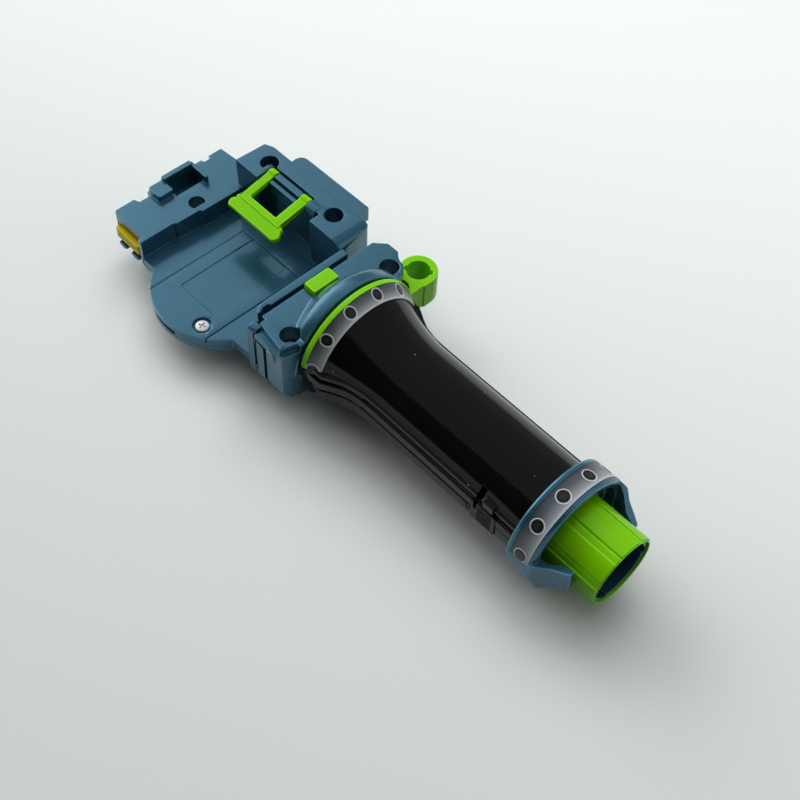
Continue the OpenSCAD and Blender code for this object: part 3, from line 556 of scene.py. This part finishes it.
# shares of the recess's depth
pitShares = {"depth": 1.6, "place": -1.4}
screws = {
    "collar_screws": {"spots": [(11.6, -21.26, 7.7), (11.6, 21.26, 7.7)], "head": 2.9, "height": 2,
        "shank": 1.3, "length": 12},
    "head_screws": {"spots": [(-50.8, 22.9, 4.5), (-17.5, 22.9, 4.5)], "head": 2.9, "height": 2,
        "shank": 1.3, "length": 12},
    "cover_screw": {"spots": [(-22.7, -31.0, -4.8)], "head": 2.25, "height": 1.1, "shank": 1.2, "length": 5},
    "grip_screws": {"spots": [(42.4, 0, -7), (70.4, 0, -7), (96.4, 0, -7)], "head": 2.6, "height": 2,
        "shank": 1.15, "length": 15, "tilt": math.pi},
}
# the rail's screw sits half under the rail's edge, so its head is cut there
railScrew = {"spots": [(-62.5, -1.5, -2.2)], "head": 2.2, "height": 1.8, "shank": 1.3, "length": 6}
railEdge = -60.3


def makeScrewTree():
    t = GrowTree("panHeadScrews", screwSizes)
    s = t.size
    x, y, z = t.split(t.node("GeometryNodeInputPosition"))
    head = t.node("GeometryNodeMeshCylinder", {"fill_type": "TRIANGLE_FAN"},
        {"Vertices": screwFaces["headSides"], "Side Segments": screwFaces["headSteps"],
        "Fill Segments": screwFaces["topSteps"], "Radius": s["Head"], "Depth": s["Head Height"]})
    out = (x * x + y * y) / (s["Head"] * s["Head"])
    top = z > s["Head Height"] * 0.49  # a hair under the upper face
    domed = z + top * (1 - out * out) * s["Dome"] - s["Head Height"] * 0.5 - s["Dome"]
    head = t.move(head, t.vector(x, y, domed))
    arms = [t.node("GeometryNodeMeshCube", {}, {"Size": t.vector(*(size + [s["Slot Depth"] * 2]))})
        for size in ([s["Slot"], s["Slot Width"]], [s["Slot Width"], s["Slot"]])]
    pit = t.node("GeometryNodeMeshCone", {},
        {"Vertices": screwFaces["pitSides"], "Radius Top": s["Slot Width"],
        "Radius Bottom": 0.0001, "Depth": s["Slot Depth"] * pitShares["depth"]})
    pit = t.lift(pit, s["Slot Depth"] * pitShares["place"])
    head = t.node("GeometryNodeMeshBoolean", {"operation": "DIFFERENCE", "solver": "EXACT"},
        {"Mesh 1": head, "Mesh 2": arms + [pit], "Self Intersection": True})
    root = s["Shank"] * threadShares["root"]
    shank = t.node("GeometryNodeMeshCylinder", {},
        {"Vertices": screwFaces["shankSides"], "Radius": root, "Depth": s["Length"]})
    shank = t.lift(shank, s["Length"] * -0.5 - s["Head Height"])
    spiral = t.node("GeometryNodeCurveSpiral", {}, {"Resolution": screwFaces["threadSteps"],
        "Rotations": s["Length"] / s["Pitch"] - 1, "Start Radius": root, "End Radius": root,
        "Height": s["Length"] - s["Pitch"]})
    crest = t.circle(screwFaces["crestSides"], s["Shank"] * threadShares["crest"])
    thread = t.sweep(spiral, crest, True)
    thread = t.lift(thread, s["Length"] * -1 - s["Head Height"] + s["Pitch"] * 0.5)
    screw = t.node("GeometryNodeJoinGeometry", {}, {"Geometry": [head, shank, thread]})
    turned = t.node("FunctionNodeEulerToRotation", {}, {0: t.vector(s["Tilt"], 0.0, s["Turn"])})
    spread = t.node("GeometryNodeInstanceOnPoints", {},
        {"Points": t.start, "Instance": screw, "Rotation": turned})
    return t.finish([t.real(spread, materials["platedSteel"])])


screwTree = makeScrewTree()


def screwMesh(name, spots, head, height, shank, length, tilt=0.0):
    r = recessShares
    mesh = grow(name, screwTree, {"Head": head * mm, "Head Height": height * mm,
        "Dome": r["dome"] * height * mm, "Shank": shank * mm, "Length": length * mm,
        "Slot": head * r["length"] * mm, "Slot Width": head * r["width"] * mm,
        "Slot Depth": height * r["depth"] * mm, "Tilt": tilt}, [at(*spot) for spot in spots])
    smoothMesh(mesh, 30)
    return mesh


def joinMesh(mesh, other):
    b = bmesh.new()
    b.from_mesh(other)
    b.from_mesh(mesh)
    b.to_mesh(mesh)
    b.free()


for node, values in screws.items():
    mesh = screwMesh(pieceName(node), **values)
    if node == "head_screws":
        cut = screwMesh("railScrew", **railScrew)
        cutMesh(cut, at(railEdge, 0, 0), (-1, 0, 0))
        joinMesh(mesh, cut)
    addPiece(pieceName(node), mesh, node)
print("screws", len(screws))

# The button's coil spring

springSizes = {"Radius": 0.001, "Wire": 0.0002, "Height": 0.008, "Turns": 7.0}
spring = {"x": 8.0, "low": -5.0, "high": 3.4, "radius": 1.0, "wire": 0.2, "turns": 7.0, "travel": 1.6}


def makeSpringTree():
    t = GrowTree("coilSpring", springSizes)
    s = t.size
    coil = t.node("GeometryNodeCurveSpiral", {}, {"Resolution": 28, "Rotations": s["Turns"],
        "Start Radius": s["Radius"], "End Radius": s["Radius"], "Height": s["Height"]})
    made = t.sweep(coil, t.circle(10, s["Wire"]), True)
    spread = t.node("GeometryNodeInstanceOnPoints", {}, {"Points": t.start, "Instance": made})
    return t.finish([t.real(spread, materials["platedSteel"])])


springLength = spring["high"] - spring["low"]
springMesh = grow("buttonSpring", makeSpringTree(), {"Radius": spring["radius"] * mm,
    "Wire": spring["wire"] * mm, "Height": (springLength - 2 * spring["wire"]) * mm,
    "Turns": spring["turns"]}, [at(spring["x"], 0, spring["low"] + spring["wire"])])
smoothMesh(springMesh)
springPiece = addPiece("buttonSpring", springMesh, "button_spring")
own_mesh(springPiece)
print("spring", spring["turns"], "turns")

# Camera, floor and lights

view = {"lens": 57.6377, "sensor": 36, "place": (0.181051, -0.175553, 0.348404), "azimuth": 43.87,
    "elevation": 54.30, "roll": 3.39, "near": 0.01, "far": 20}


def makeCamera():
    az, el, roll = (math.radians(view[k]) for k in ("azimuth", "elevation", "roll"))
    back = Vector((math.sin(az) * math.cos(el), -math.cos(az) * math.cos(el), math.sin(el)))
    right = Vector((0, 0, 1)).cross(back).normalized()
    up = back.cross(right)
    right, up = right * math.cos(roll) + up * math.sin(roll), up * math.cos(roll) - right * math.sin(roll)
    data = bpy.data.cameras.new("camera")
    data.lens = view["lens"]
    data.sensor_width = view["sensor"]
    data.clip_start = view["near"]
    data.clip_end = view["far"]
    made = bpy.data.objects.new("camera", data)
    bpy.context.scene.collection.objects.link(made)
    made.matrix_world = Matrix((right, up, back)).transposed().to_4x4()
    made.location = view["place"]
    bpy.context.scene.camera = made


lamps = {
    "keyLamp": {"place": (-0.30, 0.55, 1.0), "size": 0.8, "power": 4.1},
    "overLamp": {"place": (0.0, 0.1, 1.2), "size": 0.9, "power": 2.0},
    "sideLamp": {"place": (-0.8, 0.1, 0.7), "size": 0.6, "power": 2.1},
}


def makeLamp(name, place, size, power):
    data = bpy.data.lights.new(name, "AREA")
    data.shape = "DISK"
    data.size = size
    data.energy = power
    made = bpy.data.objects.new(name, data)
    bpy.context.scene.collection.objects.link(made)
    made.location = place
    made.rotation_mode = "QUATERNION"
    made.rotation_quaternion = (-Vector(place)).to_track_quat("-Z", "Y")
    made.visible_glossy = False  # the gloss shows the room's soft patches, not a hard disc


# the room's own light, as soft patches of brightness in the directions named;
# a patch starts where the cosine to its middle is edge and is full at full
roomPatches = {
    "behind": {"toward": (-0.30, 0.75, 0.59), "edge": 0.03, "full": 0.11, "strength": 0.28},
    "left": {"toward": (-0.93, -0.1, 0.36), "edge": 0.75, "full": 1.0, "strength": 2.3},
    "right": {"toward": (0.85, 0.38, 0.37), "edge": 0.85, "full": 1.0, "strength": 0.6},
    "window": {"toward": (-0.66, 0.36, 0.66), "edge": 0.955, "full": 0.99, "strength": 0.85},
    "horizon": {"toward": (0.0, 0.0, -1.0), "edge": -0.12, "full": -0.02, "strength": 0.7},
    "everywhere": {"toward": (0.0, 0.0, 1.0), "edge": -3.0, "full": -2.0, "strength": 0.012},
}
roomTint = (0.98, 1.0, 0.99, 1)


def makeRoom(patches):
    world = bpy.data.worlds.new("studio")
    bpy.context.scene.world = world
    world.use_nodes = True
    world.node_tree.nodes.clear()
    t = Tree(world.node_tree)
    direction = t.node("ShaderNodeTexCoord", out=0)
    total = 0.0
    for patch in patches.values():
        toward = tuple(Vector(patch["toward"]).normalized())
        near = t.node("ShaderNodeVectorMath", {"operation": "DOT_PRODUCT"}, {0: direction, 1: toward}, out=1)
        total = total + t.ease(near, patch["edge"], patch["full"]) * patch["strength"]
    shade = t.node("ShaderNodeBackground", {}, {"Color": roomTint, "Strength": total})
    t.node("ShaderNodeOutputWorld", {}, {"Surface": shade})


# the table's colour carries painted light falloff: darker towards the camera and paler behind the object; it
# stays pale even past the lamps' reach
table = {"half": 8.0, "front": colour(211, 214, 213), "back": colour(247, 252, 250), "fade": (-0.22, 0.25),
    "fadeY": 0.9, "fadeX": -0.25, "uneven": 0.02, "farTint": colour(190, 194, 193),
    "farGlow": colour(176, 180, 178), "farFrom": 0.4, "farTo": 1.4, "bounce": colour(124, 126, 125),
    "rough": 0.75, "grainScale": 700.0, "grain": 0.05, "grainDepth": 0.0003}


def makeFloor():
    half = table["half"]
    corners = [(-half, -half, 0), (half, -half, 0), (half, half, 0), (-half, half, 0)]
    mesh = bpy.data.meshes.new("floor")
    mesh.from_pydata(corners, [], [(0, 1, 2, 3)])
    made = bpy.data.objects.new("floor", mesh)
    bpy.context.scene.collection.objects.link(made)
    material, t, place = newMaterial("paleTable")
    soft = t.noise(place, table["grainScale"], 3.0)
    x, y, _ = t.split(place)
    # painted light falloff across the table: the colour runs from the shaded front to the lit back
    paintedFalloff = y * table["fadeY"] + x * table["fadeX"] + (soft - 0.5) * table["uneven"]
    base = mixColour(t, t.ease(paintedFalloff, *table["fade"]), table["front"], table["back"])
    away = t.ease((x * x + y * y) ** 0.5, table["farFrom"], table["farTo"])
    base = mixColour(t, away, base, table["farTint"])
    camera, mirrored, through = (t.node("ShaderNodeLightPath", out=ray)
        for ray in ("Is Camera Ray", "Is Glossy Ray", "Is Transmission Ray"))
    seen = camera + mirrored + through
    base = mixColour(t, seen, table["bounce"], base)
    glow = mixColour(t, away * seen, (0, 0, 0, 1), table["farGlow"])
    bump = t.bump(soft, table["grain"], table["grainDepth"])
    finishMaterial(t, {"Base Color": base, "Roughness": table["rough"], "Normal": bump,
        "Emission Color": glow, "Emission Strength": 1.0})
    mesh.materials.append(material)


makeCamera()
for name, values in lamps.items():
    makeLamp(name, **values)
makeRoom(roomPatches)
makeFloor()
bpy.context.scene.view_settings.view_transform = "Standard"
print("camera, lamps, room and table")
